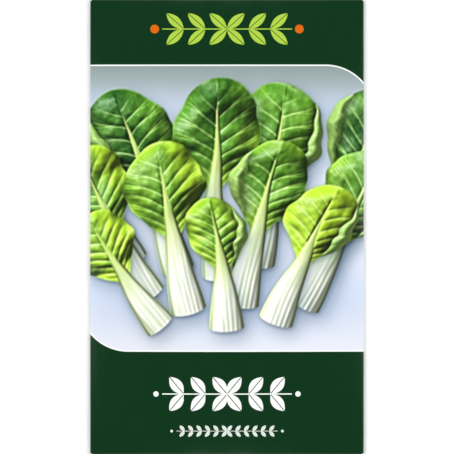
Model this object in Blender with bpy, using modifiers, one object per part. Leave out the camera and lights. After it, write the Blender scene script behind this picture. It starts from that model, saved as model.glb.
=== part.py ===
"""A paper seed packet lying on its back, front up.

It is one die-cut sheet of coated paper, folded and glued, with small round seeds inside. The
origin is under the middle of the packet, on the surface that it lies on. +X runs across the
front to the right, +Y up the front to the top edge, and +Z out of the front.
"""

import math
import random

import bmesh
import bpy
import numpy as np

# The packet's outline, and the paper
PACKET_WIDTH = 0.081
PACKET_HEIGHT = 0.135
PAPER_THICKNESS = 0.00015
LAYER_PITCH = 0.00025  # middle to middle of two glued layers
CORNER_RELIEF = 0.0005  # the folds stop this short of each corner

# The parts of the blank round the front panel
GLUE_TAB_WIDTH = 0.011
BACK_PANEL_SHORT = 0.0012  # the back panel stops this short of the left fold
BOTTOM_FLAP_HEIGHT = 0.013
TOP_FLAP_HEIGHT = 0.017
FLAP_TAPER = 0.05  # share of its half width that each end of a flap loses

# The bulge of the front panel over its contents
EDGE_LEVEL = 0.0009  # the height of the front's edges over the surface
PILLOW_RISE = 0.0013
HEAP_RISE = 0.0026
HEAP_CENTRE_Y = -0.024
HEAP_REACH_X = 0.021
HEAP_REACH_Y = 0.026
EDGE_SOFTNESS = 0.25  # smaller is a steeper rise from the folds

# The seeds, fused where they touch
SEED_RADIUS = 0.0010
SEED_PITCH = 0.00165
SEED_SHIFT = 0.00005
SEED_SPREAD_X = 0.0105
SEED_SPREAD_Y = 0.0088
SECOND_LAYER_SHARE = 0.4
SEED_CLEARANCE = 0.0003
SEED_DRAW = 26

# How finely the sheet is divided
FRONT_CELLS_ACROSS = 26
FRONT_CELLS_ALONG = 42
FOLD_CELLS = 6
FLAT_CELLS = 2

# Levels of the layers, counted from the outermost one at the back
FLAP_LEVEL = PAPER_THICKNESS / 2
BACK_LEVEL = FLAP_LEVEL + LAYER_PITCH
TAB_LEVEL = BACK_LEVEL + LAYER_PITCH
LEFT_FOLD_RADIUS = (EDGE_LEVEL - TAB_LEVEL) / 2
RIGHT_FOLD_RADIUS = (EDGE_LEVEL - BACK_LEVEL) / 2
END_FOLD_RADIUS = (EDGE_LEVEL - FLAP_LEVEL) / 2

# Where the front panel ends and each fold begins, on the flat blank and folded alike
HALF_WIDTH = (PACKET_WIDTH - PAPER_THICKNESS) / 2  # to the middle of the paper
HALF_HEIGHT = (PACKET_HEIGHT - PAPER_THICKNESS) / 2
LEFT_LINE = LEFT_FOLD_RADIUS - HALF_WIDTH
RIGHT_LINE = HALF_WIDTH - RIGHT_FOLD_RADIUS
BOTTOM_LINE = END_FOLD_RADIUS - HALF_HEIGHT
TOP_LINE = HALF_HEIGHT - END_FOLD_RADIUS
SIDE_FOLD_END = PACKET_HEIGHT / 2 - CORNER_RELIEF
END_FOLD_END = PACKET_WIDTH / 2 - CORNER_RELIEF


def clear_scene():
    for obj in list(bpy.data.objects):
        bpy.data.objects.remove(obj)


def make_collection(name):
    collection = bpy.data.collections.new(name)
    bpy.context.scene.collection.children.link(collection)
    return collection


def make_material(name, colour, roughness):
    material = bpy.data.materials.new(name)
    material.use_nodes = True
    shader = material.node_tree.nodes["Principled BSDF"]
    shader.inputs["Base Color"].default_value = (*colour, 1.0)
    shader.inputs["Roughness"].default_value = roughness
    shader.inputs["Metallic"].default_value = 0.0
    return material


def fold_stations(line, radius, flat_length, side):
    """Places on the blank beyond a fold line: round the fold, then along the flat part after it."""
    arc = math.pi * radius
    round_the_fold = np.linspace(0, arc, FOLD_CELLS + 1)[1:]
    along_the_flat = np.linspace(arc, arc + flat_length, FLAT_CELLS + 1)[1:]
    return line + side * np.concatenate([round_the_fold, along_the_flat])


def front_stations(low, high, relief, cells):
    """Places across the front panel, with one at each end of the relieved corners."""
    return np.concatenate([[low], np.linspace(-relief, relief, cells - 1), [high]])


def folded(place, low_line, high_line, low_radius, high_radius):
    """Where a place on the blank ends up: its folded place, and how far the folds have dropped it."""
    below = np.maximum(low_line - place, 0)
    above = np.maximum(place - high_line, 0)
    beyond = below + above
    radius = np.where(below > 0, low_radius, high_radius)
    angle = np.minimum(beyond / radius, math.pi)
    outward = radius * np.sin(angle) - np.maximum(beyond - math.pi * radius, 0)
    drop = radius * (1 - np.cos(angle))
    inside = np.clip(place, low_line, high_line)
    return inside + np.where(below > 0, -outward, outward), drop


def bulge(x, y):
    """How far the front panel rises over its edges: a low pillow, and the heap of seeds on it."""
    across = 1 - (x / RIGHT_LINE) ** 2
    along = 1 - (y / TOP_LINE) ** 2
    room = np.maximum(across, 0) * np.maximum(along, 0)
    rise_from_edge = room * (1 + EDGE_SOFTNESS) / (room + EDGE_SOFTNESS)
    heap = np.exp(-((x / HEAP_REACH_X) ** 2) - ((y - HEAP_CENTRE_Y) / HEAP_REACH_Y) ** 2)
    return rise_from_edge * (PILLOW_RISE + HEAP_RISE * heap)


def folded_sheet(u, v):
    """The folded place of each point (u, v) of the flat blank."""
    beyond_flap_fold = np.maximum(np.abs(v) - TOP_LINE - math.pi * END_FOLD_RADIUS, 0)
    flap_height = np.where(v > 0, TOP_FLAP_HEIGHT, BOTTOM_FLAP_HEIGHT)
    u = u * (1 - FLAP_TAPER * beyond_flap_fold / flap_height)
    x, side_drop = folded(u, LEFT_LINE, RIGHT_LINE, LEFT_FOLD_RADIUS, RIGHT_FOLD_RADIUS)
    y, end_drop = folded(v, BOTTOM_LINE, TOP_LINE, END_FOLD_RADIUS, END_FOLD_RADIUS)
    on_front = (side_drop == 0) & (end_drop == 0)
    z = EDGE_LEVEL - side_drop - end_drop + np.where(on_front, bulge(x, y), 0)
    return np.stack([x, y, z], axis=-1)


def die_cut(bm, u, v):
    """Cuts the four corners out of the blank, so that only the front has side and end parts."""
    scrap = []
    for face in bm.faces:
        centre_u = np.mean([u[vert.index] for vert in face.verts])
        centre_v = np.mean([v[vert.index] for vert in face.verts])
        past_side_line = not LEFT_LINE < centre_u < RIGHT_LINE
        past_end_line = not BOTTOM_LINE < centre_v < TOP_LINE
        in_relief = abs(centre_v) > SIDE_FOLD_END if past_side_line else abs(centre_u) > END_FOLD_END
        if (past_side_line and past_end_line) or ((past_side_line or past_end_line) and in_relief):
            scrap.append(face)
    bmesh.ops.delete(bm, geom=scrap, context="FACES")


def make_envelope(collection):
    """The folded sheet: a flat blank, cut, folded over its four fold lines, and given its thickness."""
    left = fold_stations(LEFT_LINE, LEFT_FOLD_RADIUS, GLUE_TAB_WIDTH, -1)
    back_panel_width = RIGHT_LINE - LEFT_LINE - BACK_PANEL_SHORT
    right = fold_stations(RIGHT_LINE, RIGHT_FOLD_RADIUS, back_panel_width, 1)
    bottom = fold_stations(BOTTOM_LINE, END_FOLD_RADIUS, BOTTOM_FLAP_HEIGHT, -1)
    top = fold_stations(TOP_LINE, END_FOLD_RADIUS, TOP_FLAP_HEIGHT, 1)
    across = front_stations(LEFT_LINE, RIGHT_LINE, END_FOLD_END, FRONT_CELLS_ACROSS)
    along = front_stations(BOTTOM_LINE, TOP_LINE, SIDE_FOLD_END, FRONT_CELLS_ALONG)
    across = np.concatenate([left[::-1], across, right])
    along = np.concatenate([bottom[::-1], along, top])

    bm = bmesh.new()
    bmesh.ops.create_grid(bm, x_segments=len(across) - 1, y_segments=len(along) - 1, size=1.0)
    bm.verts.index_update()
    flat = np.array([vert.co for vert in bm.verts])
    column = np.rint((flat[:, 0] + 1) / 2 * (len(across) - 1)).astype(int)
    row = np.rint((flat[:, 1] + 1) / 2 * (len(along) - 1)).astype(int)
    u, v = across[column], along[row]
    for vert, place in zip(bm.verts, folded_sheet(u, v)):
        vert.co = place
    die_cut(bm, u, v)

    mesh = bpy.data.meshes.new("paper_envelope")
    bm.to_mesh(mesh)
    bm.free()
    mesh.shade_smooth()
    envelope = bpy.data.objects.new("paper_envelope", mesh)
    collection.objects.link(envelope)
    mesh.materials.append(make_material("printed_paper", (0.0065, 0.042, 0.0137), 0.5))
    thickness = envelope.modifiers.new("paper thickness", "SOLIDIFY")
    thickness.thickness = PAPER_THICKNESS
    thickness.offset = 0.0
    return envelope


def seed_places():
    """Places of the seeds: a bed one seed deep on the back panel, and a few in its hollows."""
    draw = random.Random(SEED_DRAW)
    row_pitch = SEED_PITCH * math.sqrt(3) / 2
    bed_level = BACK_LEVEL + PAPER_THICKNESS / 2 + SEED_CLEARANCE + SEED_RADIUS
    rows = int(SEED_SPREAD_Y / row_pitch)
    columns = int(SEED_SPREAD_X / SEED_PITCH) + 1
    places = []
    for row in range(-rows, rows + 1):
        for column in range(-columns, columns + 1):
            x = (column + 0.5 * (row % 2)) * SEED_PITCH
            y = row * row_pitch
            reach = math.hypot(x / SEED_SPREAD_X, y / SEED_SPREAD_Y)
            if reach > 1:
                continue
            shift_x, shift_y = draw.uniform(-SEED_SHIFT, SEED_SHIFT), draw.uniform(-SEED_SHIFT, SEED_SHIFT)
            places.append((x + shift_x, HEAP_CENTRE_Y + y + shift_y, bed_level))
            if reach < SECOND_LAYER_SHARE and (row + column) % 2:
                hollow = (x, HEAP_CENTRE_Y + y + row_pitch / 1.5, bed_level + 0.8 * SEED_PITCH)
                places.append(hollow)
    return places, draw


def make_seeds(collection):
    """The seeds: small faceted balls, turned at random, and joined into one body where they touch."""
    places, draw = seed_places()
    loose = make_collection("loose seeds")
    material = make_material("seed_coat", (0.060, 0.020, 0.012), 0.55)
    for number, place in enumerate(places):
        bm = bmesh.new()
        bmesh.ops.create_icosphere(bm, subdivisions=1, radius=SEED_RADIUS)
        mesh = bpy.data.meshes.new(f"seed {number}")
        bm.to_mesh(mesh)
        bm.free()
        mesh.materials.append(material)
        seed = bpy.data.objects.new(f"seed {number}", mesh)
        seed.location = place
        seed.rotation_euler = [draw.uniform(0, math.tau) for _ in range(3)]
        loose.objects.link(seed)

    seeds = loose.objects[0]
    seeds.name = "seeds"
    loose.objects.unlink(seeds)
    collection.objects.link(seeds)
    bpy.context.view_layer.update()
    joining = seeds.modifiers.new("join the seeds", "BOOLEAN")
    joining.operation = "UNION"
    joining.operand_type = "COLLECTION"
    joining.collection = loose
    joining.solver = "EXACT"
    bpy.context.view_layer.objects.active = seeds
    bpy.ops.object.modifier_apply(modifier=joining.name)
    for seed in list(loose.objects):
        bpy.data.objects.remove(seed)
    bpy.data.collections.remove(loose)
    return seeds


def main():
    clear_scene()
    packet = make_collection("seed packet")
    make_envelope(packet)
    make_seeds(packet)


main()
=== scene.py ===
import math
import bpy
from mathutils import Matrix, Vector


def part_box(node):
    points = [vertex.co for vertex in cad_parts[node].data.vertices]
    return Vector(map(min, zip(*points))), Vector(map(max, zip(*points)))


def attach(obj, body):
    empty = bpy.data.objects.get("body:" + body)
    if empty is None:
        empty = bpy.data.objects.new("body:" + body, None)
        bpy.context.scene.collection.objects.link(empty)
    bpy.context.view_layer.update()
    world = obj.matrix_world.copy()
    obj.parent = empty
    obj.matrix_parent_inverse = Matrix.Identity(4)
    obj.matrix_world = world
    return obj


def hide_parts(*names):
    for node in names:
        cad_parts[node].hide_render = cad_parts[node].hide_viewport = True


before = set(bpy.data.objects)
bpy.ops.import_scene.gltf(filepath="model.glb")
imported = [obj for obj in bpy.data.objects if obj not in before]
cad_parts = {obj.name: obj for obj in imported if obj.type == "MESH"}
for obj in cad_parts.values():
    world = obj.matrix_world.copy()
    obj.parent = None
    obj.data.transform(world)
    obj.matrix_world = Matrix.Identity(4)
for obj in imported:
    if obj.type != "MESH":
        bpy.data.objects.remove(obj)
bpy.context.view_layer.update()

from types import SimpleNamespace

import bpy
import numpy as np


# The folded sheet
# The packet is one die-cut sheet of coated label paper, folded round four lines: a glue tab goes
# behind the left fold, the back panel behind the right one, and a flap over them at each end.
# The glue between two layers is a film of 0.1 mm, so the layers lie 0.25 mm apart.

MM = 0.001
PAPER = 0.15 * MM
LAYER = 0.25 * MM
FLAP_LEVEL = PAPER / 2
BACK_LEVEL = FLAP_LEVEL + LAYER
TAB_LEVEL = BACK_LEVEL + LAYER
EDGE_LEVEL = 0.9 * MM  # the front's edges, over the surface that the packet lies on
LEFT_ROUND = (EDGE_LEVEL - TAB_LEVEL) / 2
RIGHT_ROUND = (EDGE_LEVEL - BACK_LEVEL) / 2
END_ROUND = (EDGE_LEVEL - FLAP_LEVEL) / 2

envelope_low, envelope_high = np.array(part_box("paper_envelope"))
HALF_WIDTH = (envelope_high[0] - envelope_low[0] - PAPER) / 2
HALF_HEIGHT = (envelope_high[1] - envelope_low[1] - PAPER) / 2
LEFT_LINE = LEFT_ROUND - HALF_WIDTH
RIGHT_LINE = HALF_WIDTH - RIGHT_ROUND
BOTTOM_LINE = END_ROUND - HALF_HEIGHT
TOP_LINE = HALF_HEIGHT - END_ROUND
CORNER_RELIEF = 0.5 * MM
SIDE_FOLD_END = HALF_HEIGHT + PAPER / 2 - CORNER_RELIEF
END_FOLD_END = HALF_WIDTH + PAPER / 2 - CORNER_RELIEF

TAB_WIDTH = 11 * MM
BACK_WIDTH = RIGHT_LINE - LEFT_LINE - 1.2 * MM
BOTTOM_FLAP = 13 * MM
TOP_FLAP = 17 * MM
FLAP_TAPER = 0.05

# The picture's window in the flat print. Its middle is above the packet's middle, and it runs on
# past both side folds, so that a fold a little off its place shows no green edge.
WINDOW_HALF_WIDTH = 44.0 * MM
WINDOW_BOTTOM = -36.9 * MM
WINDOW_TOP = 48.06 * MM


def ease(low, high, value):
    """0 at low, 1 at high and level at both: three times the share squared, less twice its cube."""
    share = np.clip((value - low) / (high - low), 0, 1)
    return share * share * (3 - 2 * share)


def bent(place, low_line, high_line, low_round, high_round):
    """Where a place on the flat blank comes to lie, and how far the folds drop it. Past a fold line
    it goes half round a circle, and then back under the panel that it left."""
    below = np.maximum(low_line - place, 0)
    above = np.maximum(place - high_line, 0)
    past = below + above
    around = np.where(below > 0, low_round, high_round)
    angle = np.minimum(past / around, np.pi)
    outward = around * np.sin(angle) - np.maximum(past - np.pi * around, 0)
    drop = around * (1 - np.cos(angle))
    return np.clip(place, low_line, high_line) + np.where(below > 0, -outward, outward), drop


# The front's relief: the height of each form, then its reach, or the length of a radian of its waves
PILLOW_RISE, EDGE_SOFTNESS = 1.24 * MM, 0.25  # a smaller softness is a steeper rise from the folds
HEAP_RISE, HEAP_Y, HEAP_REACH_X, HEAP_REACH_Y = 2.5 * MM, -24 * MM, 21 * MM, 26 * MM
PUCKER_RISE, PUCKER_REACH, PUCKER_ACROSS, PUCKER_ALONG = 0.15 * MM, 13 * MM, 2.1 * MM, 9 * MM
RAY_RISE, RAY_COUNT, RAY_RING = 0.17 * MM, 7, 1.35  # the ring's size is a multiple of the heap's reach
ROLL_RISE, ROLL_ACROSS, ROLL_ALONG = 0.12 * MM, 17 * MM, 23 * MM


def front_rise(x, y):
    """The front's height over its edges: a low pillow, with a bell on it for the heap of seeds, and the
    waves that dry paper keeps. Puckers are sines across it that die away from the glued ends, rays are
    sines round the heap in a soft ring, and a slow roll is a sine each way."""
    room = np.maximum(1 - (x / RIGHT_LINE) ** 2, 0) * np.maximum(1 - (y / TOP_LINE) ** 2, 0)
    lift = room * (1 + EDGE_SOFTNESS) / (room + EDGE_SOFTNESS)
    heap_x, heap_y = x / HEAP_REACH_X, (y - HEAP_Y) / HEAP_REACH_Y
    heap = np.exp(-(heap_x**2) - heap_y**2)
    from_end = (TOP_LINE - np.abs(y)) / PUCKER_REACH
    puckers = np.sin(x / PUCKER_ACROSS + 0.8 * np.sin(y / PUCKER_ALONG)) * np.exp(-from_end)
    turn = np.arctan2(heap_y, heap_x)
    in_ring = np.exp(-((np.hypot(heap_x, heap_y) - RAY_RING) ** 2) * 5)
    rays = np.sin(RAY_COUNT * turn + 1.3 * np.sin(2 * turn)) * in_ring
    roll = np.sin(x / ROLL_ACROSS + 0.7) * np.sin(y / ROLL_ALONG + 0.4)
    return lift * (
        PILLOW_RISE + HEAP_RISE * heap + PUCKER_RISE * puckers + RAY_RISE * rays + ROLL_RISE * roll
    )


def folded(u, v):
    """The middle of the paper, at the place (u, v) of the flat blank, as the folds leave it."""
    past_end = np.maximum(np.abs(v) - TOP_LINE - np.pi * END_ROUND, 0)
    u = u * (1 - FLAP_TAPER * past_end / np.where(v > 0, TOP_FLAP, BOTTOM_FLAP))
    x, side_drop = bent(u, LEFT_LINE, RIGHT_LINE, LEFT_ROUND, RIGHT_ROUND)
    y, end_drop = bent(v, BOTTOM_LINE, TOP_LINE, END_ROUND, END_ROUND)
    on_front = (side_drop == 0) & (end_drop == 0)
    z = EDGE_LEVEL - side_drop - end_drop + np.where(on_front, front_rise(x, y), 0)
    return np.stack([x, y, z], -1)


def paper_side(u, v, way):
    """The printed side (way 1) or the bare side (way -1): half the paper's thickness off its middle,
    along the surface's own upright, which is the cross product of its slopes along u and v."""
    step = 0.01 * MM
    slope_u = folded(u + step, v) - folded(u - step, v)
    slope_v = folded(u, v + step) - folded(u, v - step)
    upright = np.cross(slope_u, slope_v)
    upright /= np.linalg.norm(upright, axis=-1, keepdims=True)
    return folded(u, v) + way * PAPER / 2 * upright


def ruled(*runs):
    """Lines across the blank from runs of (start, end, cells, cells on the bare side), and the numbers
    of those lines that the coarser bare side has too."""
    lines, shared = [runs[0][0]], [0]
    for start, end, cells, bare_cells in runs:
        shared += list(len(lines) - 1 + np.round(np.linspace(0, cells, bare_cells + 1)[1:]).astype(int))
        lines += list(np.linspace(start, end, cells + 1)[1:])
    return np.array(lines), np.array(shared)


def uncut(u, v):
    """Which cells between these lines the die leaves: not the four corners, and not the slots that
    part the side folds from the end folds."""
    middle_u, middle_v = np.meshgrid((u[1:] + u[:-1]) / 2, (v[1:] + v[:-1]) / 2)
    side = (middle_u < LEFT_LINE) | (middle_u > RIGHT_LINE)
    end = (middle_v < BOTTOM_LINE) | (middle_v > TOP_LINE)
    slot = (side & (np.abs(middle_v) > SIDE_FOLD_END)) | (end & (np.abs(middle_u) > END_FOLD_END))
    return ~((side & end) | slot)


def cell_edges(cells):
    """The edges that a sheet of cells ends at, each as (row, column, row, column) with the sheet on
    its left."""
    room = np.pad(cells, 1)
    found = []
    for row_step, column_step, start, end in (
        (-1, 0, (0, 0), (0, 1)),
        (0, 1, (0, 1), (1, 1)),
        (1, 0, (1, 1), (1, 0)),
        (0, -1, (1, 0), (0, 0)),
    ):
        beyond = np.roll(room, (-row_step, -column_step), (0, 1))[1:-1, 1:-1]
        row, column = np.nonzero(cells & ~beyond)
        found.append(np.stack([row + start[0], column + start[1], row + end[0], column + end[1]], -1))
    return np.concatenate(found)


FINE = 0.33 * MM  # the pitch of the printed side where the picture has leaves
LEAFLESS = 3 * MM  # the picture's lower and upper rims, which have none
fine_bottom, fine_top = WINDOW_BOTTOM + LEAFLESS, WINDOW_TOP - LEAFLESS
fold_end_left, fold_end_right = LEFT_LINE - np.pi * LEFT_ROUND, RIGHT_LINE + np.pi * RIGHT_ROUND
fold_end_bottom, fold_end_top = BOTTOM_LINE - np.pi * END_ROUND, TOP_LINE + np.pi * END_ROUND
blank_u, shared_u = ruled(
    (fold_end_left - TAB_WIDTH, fold_end_left, 2, 2),
    (fold_end_left, LEFT_LINE, 6, 6),
    (LEFT_LINE, -END_FOLD_END, 1, 1),
    (-END_FOLD_END, END_FOLD_END, round(2 * END_FOLD_END / FINE), 40),
    (END_FOLD_END, RIGHT_LINE, 1, 1),
    (RIGHT_LINE, fold_end_right, 8, 8),
    (fold_end_right, WINDOW_HALF_WIDTH, 9, 3),
    (WINDOW_HALF_WIDTH, fold_end_right + BACK_WIDTH, 16, 16),
)
blank_v, shared_v = ruled(
    (fold_end_bottom - BOTTOM_FLAP, fold_end_bottom, 3, 3),
    (fold_end_bottom, BOTTOM_LINE, 7, 7),
    (BOTTOM_LINE, -SIDE_FOLD_END, 1, 1),
    (-SIDE_FOLD_END, fine_bottom, 24, 12),
    (fine_bottom, fine_top, round((fine_top - fine_bottom) / FINE), 40),
    (fine_top, SIDE_FOLD_END, 18, 10),
    (SIDE_FOLD_END, TOP_LINE, 1, 1),
    (TOP_LINE, fold_end_top, 7, 7),
    (fold_end_top, fold_end_top + TOP_FLAP, 3, 3),
)


BAKE_MAP = "OFBake"  # the name given to the sheet's UV map; the name of a map that the export bakes through
MAP_SIDE = 174 * MM  # the blank is 172 mm wide
SPARE_LEFT, SPARE_WIDTH = 44 * MM, 76 * MM  # beside the end flaps, where the die cuts the blank away
BARE_BOTTOM, BARE_HEIGHT = 70 * MM, 14 * MM
EDGE_BOTTOM, EDGE_HEIGHT = -78 * MM, 6 * MM


def sheet_map(flat_places, sides, on_print):
    """The sheet's UV map: the printed side lies flat in a square, so that its print is equally sharp
    all over. The bare side and the cut edge are plain, and are squeezed into what the die cuts away:
    the bare side mirrored, and the edge as a band, along it by u + v and across it by the side."""
    low = np.array([blank_u[0], blank_v[0]])
    across, up = ((flat_places - low) / ([blank_u[-1], blank_v[-1]] - low)).T
    bare = np.stack([SPARE_LEFT + SPARE_WIDTH * (1 - across), BARE_BOTTOM + BARE_HEIGHT * up], -1)
    edge = np.stack([SPARE_LEFT + SPARE_WIDTH * (across + up) / 2, EDGE_BOTTOM + EDGE_HEIGHT * on_print], -1)
    laid = np.select([(sides == "printed")[:, None], (sides == "bare")[:, None]], [flat_places, bare], edge)
    return (laid - low + (MAP_SIDE - (blank_u[-1] - blank_u[0])) / 2) / MAP_SIDE


def make_sheet():
    """The printed side on fine lines, the bare side on coarse ones that it shares, and the cut edge
    between them: a fan from each coarse point to the fine edge beside it, and one closing triangle."""
    wide, bare_wide = len(blank_u), len(shared_u)
    fine_u, fine_v = np.meshgrid(blank_u, blank_v)
    bare_u, bare_v = np.meshgrid(blank_u[shared_u], blank_v[shared_v])
    flat = np.concatenate([
        np.stack([fine_u, fine_v], -1).reshape(-1, 2),
        np.stack([bare_u, bare_v], -1).reshape(-1, 2),
    ])
    points = np.concatenate([
        paper_side(fine_u, fine_v, 1).reshape(-1, 3),
        paper_side(bare_u, bare_v, -1).reshape(-1, 3),
    ])
    bare_start = fine_u.size

    row, column = np.nonzero(uncut(blank_u, blank_v))
    corner = row * wide + column
    printed = np.stack([corner, corner + 1, corner + wide + 1, corner + wide], -1)
    bare_cells = uncut(blank_u[shared_u], blank_v[shared_v])
    row, column = np.nonzero(bare_cells)
    corner = bare_start + row * bare_wide + column
    bare = np.stack([corner, corner + bare_wide, corner + bare_wide + 1, corner + 1], -1)

    from_row, from_column, to_row, to_column = cell_edges(uncut(blank_u, blank_v)).T
    near_row = np.searchsorted(shared_v, np.minimum(from_row, to_row), "right") - 1
    near_column = np.searchsorted(shared_u, np.minimum(from_column, to_column), "right") - 1
    near = bare_start + near_row * bare_wide + near_column
    fans = np.stack([to_row * wide + to_column, from_row * wide + from_column, near], -1)

    from_row, from_column, to_row, to_column = cell_edges(bare_cells).T
    start = bare_start + from_row * bare_wide + from_column
    end = bare_start + to_row * bare_wide + to_column
    far = shared_v[np.maximum(from_row, to_row)] * wide + shared_u[np.maximum(from_column, to_column)]
    closing = np.stack([start, end, far], -1)

    corners = np.concatenate([part.ravel() for part in (printed, bare, fans, closing)])
    used, numbers = np.unique(corners, return_inverse=True)
    quads = numbers[: printed.size + bare.size].reshape(-1, 4)
    triangles = numbers[printed.size + bare.size :].reshape(-1, 3)
    mesh = bpy.data.meshes.new("folded_sheet")
    mesh.from_pydata(points[used], [], quads.tolist() + triangles.tolist())
    sides = np.repeat(("printed", "bare", "edge"), (printed.size, bare.size, fans.size + closing.size))
    places = sheet_map(flat[corners], sides, corners < bare_start)
    mesh.uv_layers.new(name=BAKE_MAP).uv.foreach_set("vector", places.astype(np.float32).ravel())
    unprinted = np.arange(len(mesh.polygons)) >= len(printed)
    mesh.polygons.foreach_set("material_index", unprinted.astype(np.int32))
    mesh.shade_smooth()
    mesh.set_sharp_from_angle(angle=math.radians(50))
    return mesh, flat[used]


def put(name, data):
    """An object for this mesh, light or camera, put into the scene."""
    thing = bpy.data.objects.new(name, data)
    bpy.context.scene.collection.objects.link(thing)
    return thing


sheet_mesh, flat_places = make_sheet()
sheet = put("folded_sheet", sheet_mesh)

# The print's layout and the window's picture follow the flat sheet, as they do on the press.
flat_blank = sheet_mesh.attributes.new("flat_blank", "FLOAT_VECTOR", "POINT")
flat_vectors = np.c_[flat_places, np.zeros(len(flat_places))]
flat_blank.data.foreach_set("vector", flat_vectors.astype(np.float32).ravel())


# The picture in the window
# A generic picture of loose leaves with pale stalks, lying over one another on a pale table. It is
# printed with the sheet, so it is drawn by formula, leaf over leaf, and laid on the flat sheet.

DOT = 0.1  # mm, finer than the sheet's points; all the picture's sizes are in mm
PICTURE_LEFT, PICTURE_RIGHT = -44.4, 44.4
PICTURE_BOTTOM, PICTURE_TOP = -37.6, 48.6
picture_x, picture_y = np.meshgrid(
    np.arange(PICTURE_LEFT, PICTURE_RIGHT, DOT, np.float32),
    np.arange(PICTURE_BOTTOM, PICTURE_TOP, DOT, np.float32),
)


def srgb(code):
    """A colour such as #123a1e as three numbers from 0 to 1, as a screen shows them."""
    return np.array([int(code[place : place + 2], 16) for place in (1, 3, 5)], np.float32) / 255


def linear(shown):
    """Screen colours turned to the linear ones that the renderer takes."""
    return np.where(shown <= 0.04045, shown / 12.92, ((shown + 0.055) / 1.055) ** 2.4)


def ink(code):
    """A colour such as #123a1e as a shader takes it."""
    return (*linear(srgb(code)).tolist(), 1.0)


def swell(across, along, cell, draw):
    """Smooth waves from -1 to 1: random heights on a square net, eased from point to point."""
    net = draw.uniform(-1, 1, (64, 64)).astype(np.float32)
    column, row = np.floor(across / cell).astype(int), np.floor(along / cell).astype(int)
    part_x, part_y = ease(0, 1, across / cell - column), ease(0, 1, along / cell - row)
    low = net[row % 64, column % 64] * (1 - part_x) + net[row % 64, (column + 1) % 64] * part_x
    high = net[(row + 1) % 64, column % 64] * (1 - part_x) + net[(row + 1) % 64, (column + 1) % 64] * part_x
    return low * (1 - part_y) + high * part_y


def billow(across, along, cell, draw):
    """Swell at three scales, each half the one before."""
    return sum(swell(across, along, cell / 2**k, draw) / 2**k for k in range(3)) / 1.4


def softened(field, radius):
    """Three box averages each way, which come near to a bell curve of that radius in mm."""
    reach = max(round(radius / DOT), 1)
    span = 2 * reach + 1
    for _ in range(3):
        total = np.cumsum(np.pad(field, ((reach + 1, reach), (0, 0)), mode="edge"), axis=0)
        field = (total[span:] - total[:-span]) / span
        total = np.cumsum(np.pad(field, ((0, 0), (reach + 1, reach)), mode="edge"), axis=1)
        field = (total[:, span:] - total[:, :-span]) / span
    return field


def cast(field, right, down):
    """The field moved by that many mm, with nothing coming in at its edges."""
    columns, rows = max(round(right / DOT), 1), max(round(down / DOT), 1)
    moved = np.zeros_like(field)
    moved[:-rows, columns:] = field[rows:, :-columns]
    return moved


def inked(under, over, share):
    """One colour going over to another, by a share from 0 to 1 at each place."""
    return under + (over - under) * share[..., None]


SUN = np.array([-0.46, 0.52, 0.72]) / np.linalg.norm([-0.46, 0.52, 0.72])
GLINT = (SUN + [0, 0, 1]) / np.linalg.norm(SUN + [0, 0, 1])


def lit(height):
    """How bright a relief is beside a level one, and how squarely it meets the glint's direction."""
    up, right = np.gradient(height, DOT)
    length = np.sqrt(right**2 + up**2 + 1)
    shade = (SUN[2] - right * SUN[0] - up * SUN[1]) / length / SUN[2]
    shine = (GLINT[2] - right * GLINT[0] - up * GLINT[1]) / length
    return np.clip(shade, 0, 1.4), np.clip(shine, 0, 1)


def bell(distance, reach):
    """1 at no distance, 0.37 at the reach, and soon nothing past it."""
    return np.exp(-((distance / reach) ** 2))


WAIST, FULLEST = 0.36, 0.72  # where a blade begins, and where it is widest, as shares of its length
VEINS = 13  # side veins to a leaf's length
STRAY, STRAY_CELL = 0.9, 20.0  # how far a midrib wanders to the side, and over what length
SHADOW_ROOM = 9.0  # how far round a leaf its shadow may reach


def set_out(number, base, lean, length, width, stalk_width, bend):
    """A leaf's own frame, on the part of the picture round it: s runs from 0 at the foot to 1 at the
    tip, and across is how many mm a place lies to the side of the midrib, which bends as s squared."""
    leaf = SimpleNamespace(length=length, width=width, stalk_width=stalk_width)
    leaf.draw = np.random.default_rng(100 + number)
    lean = math.radians(lean)
    share = np.linspace(0, 1, 9)
    spine_x = base[0] + math.sin(lean) * length * share + math.cos(lean) * bend * length * share**2
    spine_y = base[1] + math.cos(lean) * length * share - math.sin(lean) * bend * length * share**2
    margin = np.array([-1, 1]) * (width + SHADOW_ROOM)
    columns = ([spine_x.min(), spine_x.max()] + margin - PICTURE_LEFT) / DOT
    rows = ([spine_y.min(), spine_y.max()] + margin - PICTURE_BOTTOM) / DOT
    columns = np.clip(columns, 0, picture_x.shape[1]).astype(int)
    rows = np.clip(rows, 0, picture_x.shape[0]).astype(int)
    leaf.here = (slice(*rows), slice(*columns))

    from_x, from_y = picture_x[leaf.here] - base[0], picture_y[leaf.here] - base[1]
    leaf.along = from_x * math.sin(lean) + from_y * math.cos(lean)
    leaf.s = leaf.along / length
    across = from_x * math.cos(lean) - from_y * math.sin(lean) - bend * length * np.maximum(leaf.s, 0) ** 2
    stray = STRAY * swell(0 * leaf.along, leaf.along, STRAY_CELL, leaf.draw)
    leaf.across = across + stray * ease(0.1, 0.5, leaf.s)
    leaf.right_half, leaf.flank = (leaf.across > 0).astype(np.float32), ease(-7, 7, leaf.across)
    leaf.phase = leaf.draw.uniform(0, 1, 4)
    return leaf


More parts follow.
